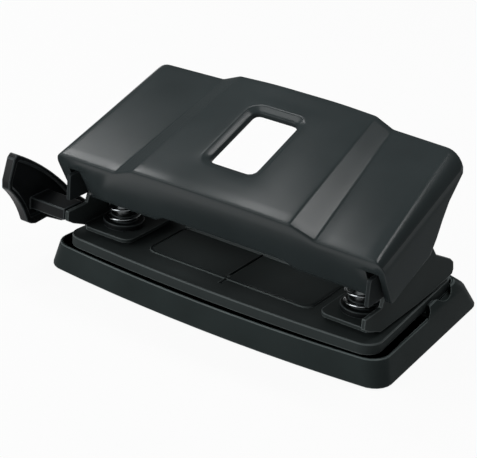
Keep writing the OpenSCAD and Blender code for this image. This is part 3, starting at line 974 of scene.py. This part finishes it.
    def skin(self) -> bmesh.types.BMesh:
        """Draws the outer face of the sheet.

        Returns:
            The open sheet in metres, with its faces turned outwards.
        """
        mesh = bmesh.new()
        lines = self.strips()
        centre = min(range(len(lines)), key=lambda i: abs(lines[i][0].x))
        grid = self.top_grid(mesh, lines)
        self.lip_faces(mesh, self.top_faces(mesh, grid, centre))
        self.flange_faces(mesh, grid)
        bmesh.ops.scale(mesh, vec=(MM, MM, MM), verts=mesh.verts)
        bmesh.ops.recalc_face_normals(mesh, faces=mesh.faces)
        mesh.normal_update()
        if sum(f.normal.z * f.calc_area() for f in mesh.faces) < 0:
            bmesh.ops.reverse_faces(mesh, faces=mesh.faces)
        # The grid's points inside the window carry no face
        loose = [v for v in mesh.verts if not v.link_faces]
        bmesh.ops.delete(mesh, geom=loose, context="VERTS")
        return mesh

    def cover(self, shop: Workshop) -> None:
        """Makes the cover, which stands for its CAD node.

        Args:
            shop: the materials.
        """
        cover = drawn_piece("lever_sheet", self.skin())
        thick = cover.modifiers.new("sheet", "SOLIDIFY")
        thick.thickness = self.sheet * MM
        thick.offset = -1.0
        thick.use_even_offset = True
        self.rim_edge.round_off(cover)
        shop.paint(cover, LEVER_ENAMEL)
        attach(cover, "lever")
        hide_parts("lever_cover")
        LOG.info("lever: %s in %s", cover.name, LEVER_ENAMEL.name)

    def build(self, shop: Workshop, nodes: Nodes) -> None:
        """Makes the cover and dresses the noses.

        Args:
            shop: the materials.
            nodes: the frame's nodes by name.
        """
        self.cover(shop)
        for side in Side:
            shop.dress("lever", nodes[f"press_{side.value}"], BLACKED_STEEL, self.press_edge)


@dataclass
class Punch:
    """One punch: its pin, cup and clip, and a return spring of round wire in open curls.

    Attributes:
        side: which of the two punches.
        hole_x: distance of the pin from the middle, in mm.
        low, high: heights of the bush and the cup that the spring stands between, in mm.
        end_gap: room left at each end of the spring, in mm.
        coil_r: mean radius of the curls, in mm.
        wire_r: radius of the wire, in mm.
        turns: curls from end to end.
        start_deg: where the wire starts round the pin.
        travel: stroke of the pin, in mm; not used.
        rings_per_turn, sides: fineness of the wire's mesh.
        pin_edge: rounds of the pin, the cup and the clip.
    """

    side: Side
    hole_x: float = 40.0
    low: float = 15.9
    high: float = 26.7
    end_gap: float = 0.02
    coil_r: float = 4.75
    wire_r: float = 0.46
    turns: float = 3.25
    start_deg: float = 200.0
    travel: float = 4.8
    rings_per_turn: int = 40
    sides: int = 14
    pin_edge: EdgeRound = EdgeRound(0.15)

    def angle(self, turn: float) -> float:
        """Returns how far round the pin the wire is after that many turns, in radians."""
        return math.radians(self.start_deg + 360 * turn)

    def centre(self, turn: float) -> Vector:
        """Finds the middle of the wire.

        Args:
            turn: how many turns along it.

        Returns:
            The place, in metres.
        """
        a = self.angle(turn)
        room = self.wire_r + self.end_gap
        z = self.low + room + (self.high - self.low - 2 * room) * turn / self.turns
        x = self.side.sign * self.hole_x + self.coil_r * math.cos(a)
        return Vector((x, self.coil_r * math.sin(a), z)) * MM

    def wire(self) -> bmesh.types.BMesh:
        """Draws the spring's wire, swept along its curls.

        Returns:
            The closed wire, in metres.
        """
        mesh = bmesh.new()
        count = int(self.turns * self.rings_per_turn)
        rings = []
        for i in range(count + 1):
            turn = self.turns * i / count
            a = self.angle(turn)
            out, up = Vector((math.cos(a), math.sin(a), 0)), Vector((0, 0, 1))
            middle = self.centre(turn)
            ring = []
            for k in range(self.sides):
                b = 2 * math.pi * k / self.sides
                way = out * math.cos(b) + up * math.sin(b)
                ring.append(mesh.verts.new(middle + way * self.wire_r * MM))
            rings.append(ring)
        for low, high in zip(rings, rings[1:]):
            join_rings(mesh, low, high)
        mesh.faces.new(rings[0][::-1])
        mesh.faces.new(rings[-1])
        bmesh.ops.recalc_face_normals(mesh, faces=mesh.faces)
        return mesh

    def spring(self, shop: Workshop) -> None:
        """Makes the spring, which stands for its CAD node.

        Args:
            shop: the materials.
        """
        coil = drawn_piece(f"coil_{self.side.value}", self.wire())
        shop.paint(coil, WIRE_STEEL)
        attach(coil, "base")
        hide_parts(f"spring_{self.side.value}")
        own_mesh(coil)
        LOG.info("punch: %s in %s", coil.name, WIRE_STEEL.name)

    def build(self, shop: Workshop, nodes: Nodes) -> None:
        """Dresses the punch's nodes and makes its spring.

        Args:
            shop: the materials.
            nodes: the frame's nodes by name.
        """
        for part, finish in (("pin", PIN_STEEL), ("cup", BLACKED_STEEL), ("clip", BLACKED_STEEL)):
            shop.dress("punch", nodes[f"{part}_{self.side.value}"], finish, self.pin_edge)
        self.spring(shop)


@dataclass
class PaperStop:
    """The sliding paper stop: fin, shelf and slide bar in one moulding.

    Attributes:
        edge: rounds of the moulding.
    """

    edge: EdgeRound = EdgeRound(0.4)

    def build(self, shop: Workshop, nodes: Nodes) -> None:
        """Dresses the stop."""
        shop.dress("stop", nodes["paper_stop"], STOP_ABS, self.edge)


@dataclass(frozen=True)
class SoftBox:
    """One lamp behind a diffusing sheet.

    Attributes:
        name: the lamp's name.
        centre: middle of the sheet, in mm.
        size: width and height of the sheet, in mm.
        radiance: how bright the sheet looks, where 1 is white.
        aim: point that it faces, in mm; None hangs it level, facing down.
    """

    name: str
    centre: Triple
    size: Pair
    radiance: float
    aim: Triple | None = None

    def build(self) -> None:
        """Hangs the lamp, with the power that gives its sheet that radiance."""
        data = bpy.data.lights.new(self.name, "AREA")
        data.shape = "RECTANGLE"
        data.size, data.size_y = (side * MM for side in self.size)
        data.energy = math.pi * self.radiance * data.size * data.size_y
        lamp = bpy.data.objects.new(self.name, data)
        lamp.location = Vector(self.centre) * MM
        if self.aim is not None:
            way = Vector(self.aim) - Vector(self.centre)
            lamp.rotation_euler = way.to_track_quat("-Z", "Y").to_euler()
        lamp.visible_camera = False
        bpy.context.scene.collection.objects.link(lamp)
        LOG.info("studio: %s", self.name)


@dataclass
class Studio:
    """Pale floor, soft lamps and the camera at the photograph's angle.

    Attributes:
        azimuth, elevation, roll: the camera's angles, in degrees.
        target: point on its axis, in mm.
        distance: from the target to the camera, in mm.
        focal_px: focal length in image pixels.
        clip: nearest and furthest that the camera sees, in metres.
        floor_colour: colour of the floor.
        floor_half: half of the floor's side, in metres.
        floor_drop: how far the floor lies below the tray, so that no two faces coincide, in mm.
        floor_glow: how much of the floor is plain white to the camera and to reflections.
        surround: strength of the even surround.
        boxes: the soft boxes.
    """

    azimuth: float = 31.57
    elevation: float = 24.95
    roll: float = 4.70
    target: Triple = (-6.08, 8.92, 19.96)
    distance: float = 453.2
    focal_px: float = 1591.1
    clip: Pair = (0.01, 20.0)
    floor_colour: str = "#c8c8c8"
    floor_half: float = 1.6
    floor_drop: float = 0.4
    floor_glow: float = 0.94
    surround: float = 0.12
    boxes: tuple[SoftBox, ...] = (
        SoftBox("front_key", (-400, -170, 700), (420, 300), 6.0),
        SoftBox("rear_left", (-423, 145, 500), (140, 97), 16.0),
        SoftBox("rear_middle", (-222, 147, 500), (84, 97), 13.0),
        SoftBox("rear_right", (190, 160, 500), (290, 95), 13.5),
        SoftBox("front_fill", (-360, -660, 220), (600, 400), 5.2, (0, 0, 20)),
    )

    def paper(self) -> bpy.types.Material:
        """Makes the floor's matt white, which glows to the camera and keeps the shadow.

        Returns:
            The material.
        """
        material, tree = new_material("pale_floor")
        matt = add_node(tree, "ShaderNodeBsdfDiffuse", {"Color": linear(self.floor_colour)})
        glow = add_node(tree, "ShaderNodeEmission", {"Color": (1, 1, 1, 1), "Strength": 1.0})
        path = add_node(tree, "ShaderNodeLightPath")
        seen = path.outputs["Is Camera Ray"]
        for ray in ("Is Glossy Ray", "Is Transmission Ray"):
            seen = add_node(tree, "ShaderNodeMath", None, {0: seen, 1: path.outputs[ray]}, operation="ADD")
        share = add_node(tree, "ShaderNodeMath", {1: self.floor_glow}, {0: seen}, operation="MULTIPLY",
                         use_clamp=True)
        mix = add_node(tree, "ShaderNodeMixShader", None, {0: share, 1: matt, 2: glow})
        add_node(tree, "ShaderNodeOutputMaterial", None, {"Surface": mix})
        return material

    def floor(self) -> None:
        """Lays the plain floor."""
        h = self.floor_half
        data = bpy.data.meshes.new("floor")
        data.from_pydata([(-h, -h, 0), (h, -h, 0), (h, h, 0), (-h, h, 0)], [], [(0, 1, 2, 3)])
        data.materials.append(self.paper())
        floor = bpy.data.objects.new("floor", data)
        floor.location.z = -self.floor_drop * MM
        bpy.context.scene.collection.objects.link(floor)
        LOG.info("studio: floor")

    def world(self) -> None:
        """Sets the even grey surround."""
        world = bpy.data.worlds.new("surround")
        bpy.context.scene.world = world
        world.use_nodes = True
        back = world.node_tree.nodes["Background"]
        back.inputs["Color"].default_value = (1, 1, 1, 1)
        back.inputs["Strength"].default_value = self.surround
        LOG.info("studio: surround")

    def camera(self) -> None:
        """Places the camera at the photograph's viewing angle."""
        a, e, w = (math.radians(v) for v in (self.azimuth, self.elevation, self.roll))
        back = Vector((math.sin(a) * math.cos(e), -math.cos(a) * math.cos(e), math.sin(e)))
        level = Vector((math.cos(a), math.sin(a), 0))
        above = back.cross(level)
        right = level * math.cos(w) + above * math.sin(w)
        up = above * math.cos(w) - level * math.sin(w)
        data = bpy.data.cameras.new("camera")
        data.sensor_width = SENSOR_MM
        data.lens = self.focal_px * SENSOR_MM / IMAGE_WIDTH
        data.clip_start, data.clip_end = self.clip
        camera = bpy.data.objects.new("camera", data)
        turn = Matrix((right, up, back)).transposed().to_4x4()
        camera.matrix_world = Matrix.Translation((Vector(self.target) + back * self.distance) * MM) @ turn
        bpy.context.scene.collection.objects.link(camera)
        bpy.context.scene.camera = camera
        LOG.info("studio: camera")

    def build(self) -> None:
        """Sets up the whole studio."""
        bpy.context.scene.view_settings.view_transform = "Standard"
        self.floor()
        self.world()
        for box in self.boxes:
            box.build()
        self.camera()


def main() -> None:
    """Builds the dressed punch in order."""
    logging.basicConfig(level=logging.INFO, format="%(name)s %(message)s")
    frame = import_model()
    shop = Workshop()
    for assembly in (Base(), Lever(), Punch(Side.LEFT), Punch(Side.RIGHT), PaperStop()):
        assembly.build(shop, frame["nodes"])
    Studio().build()


if __name__ == "__main__":
    main()
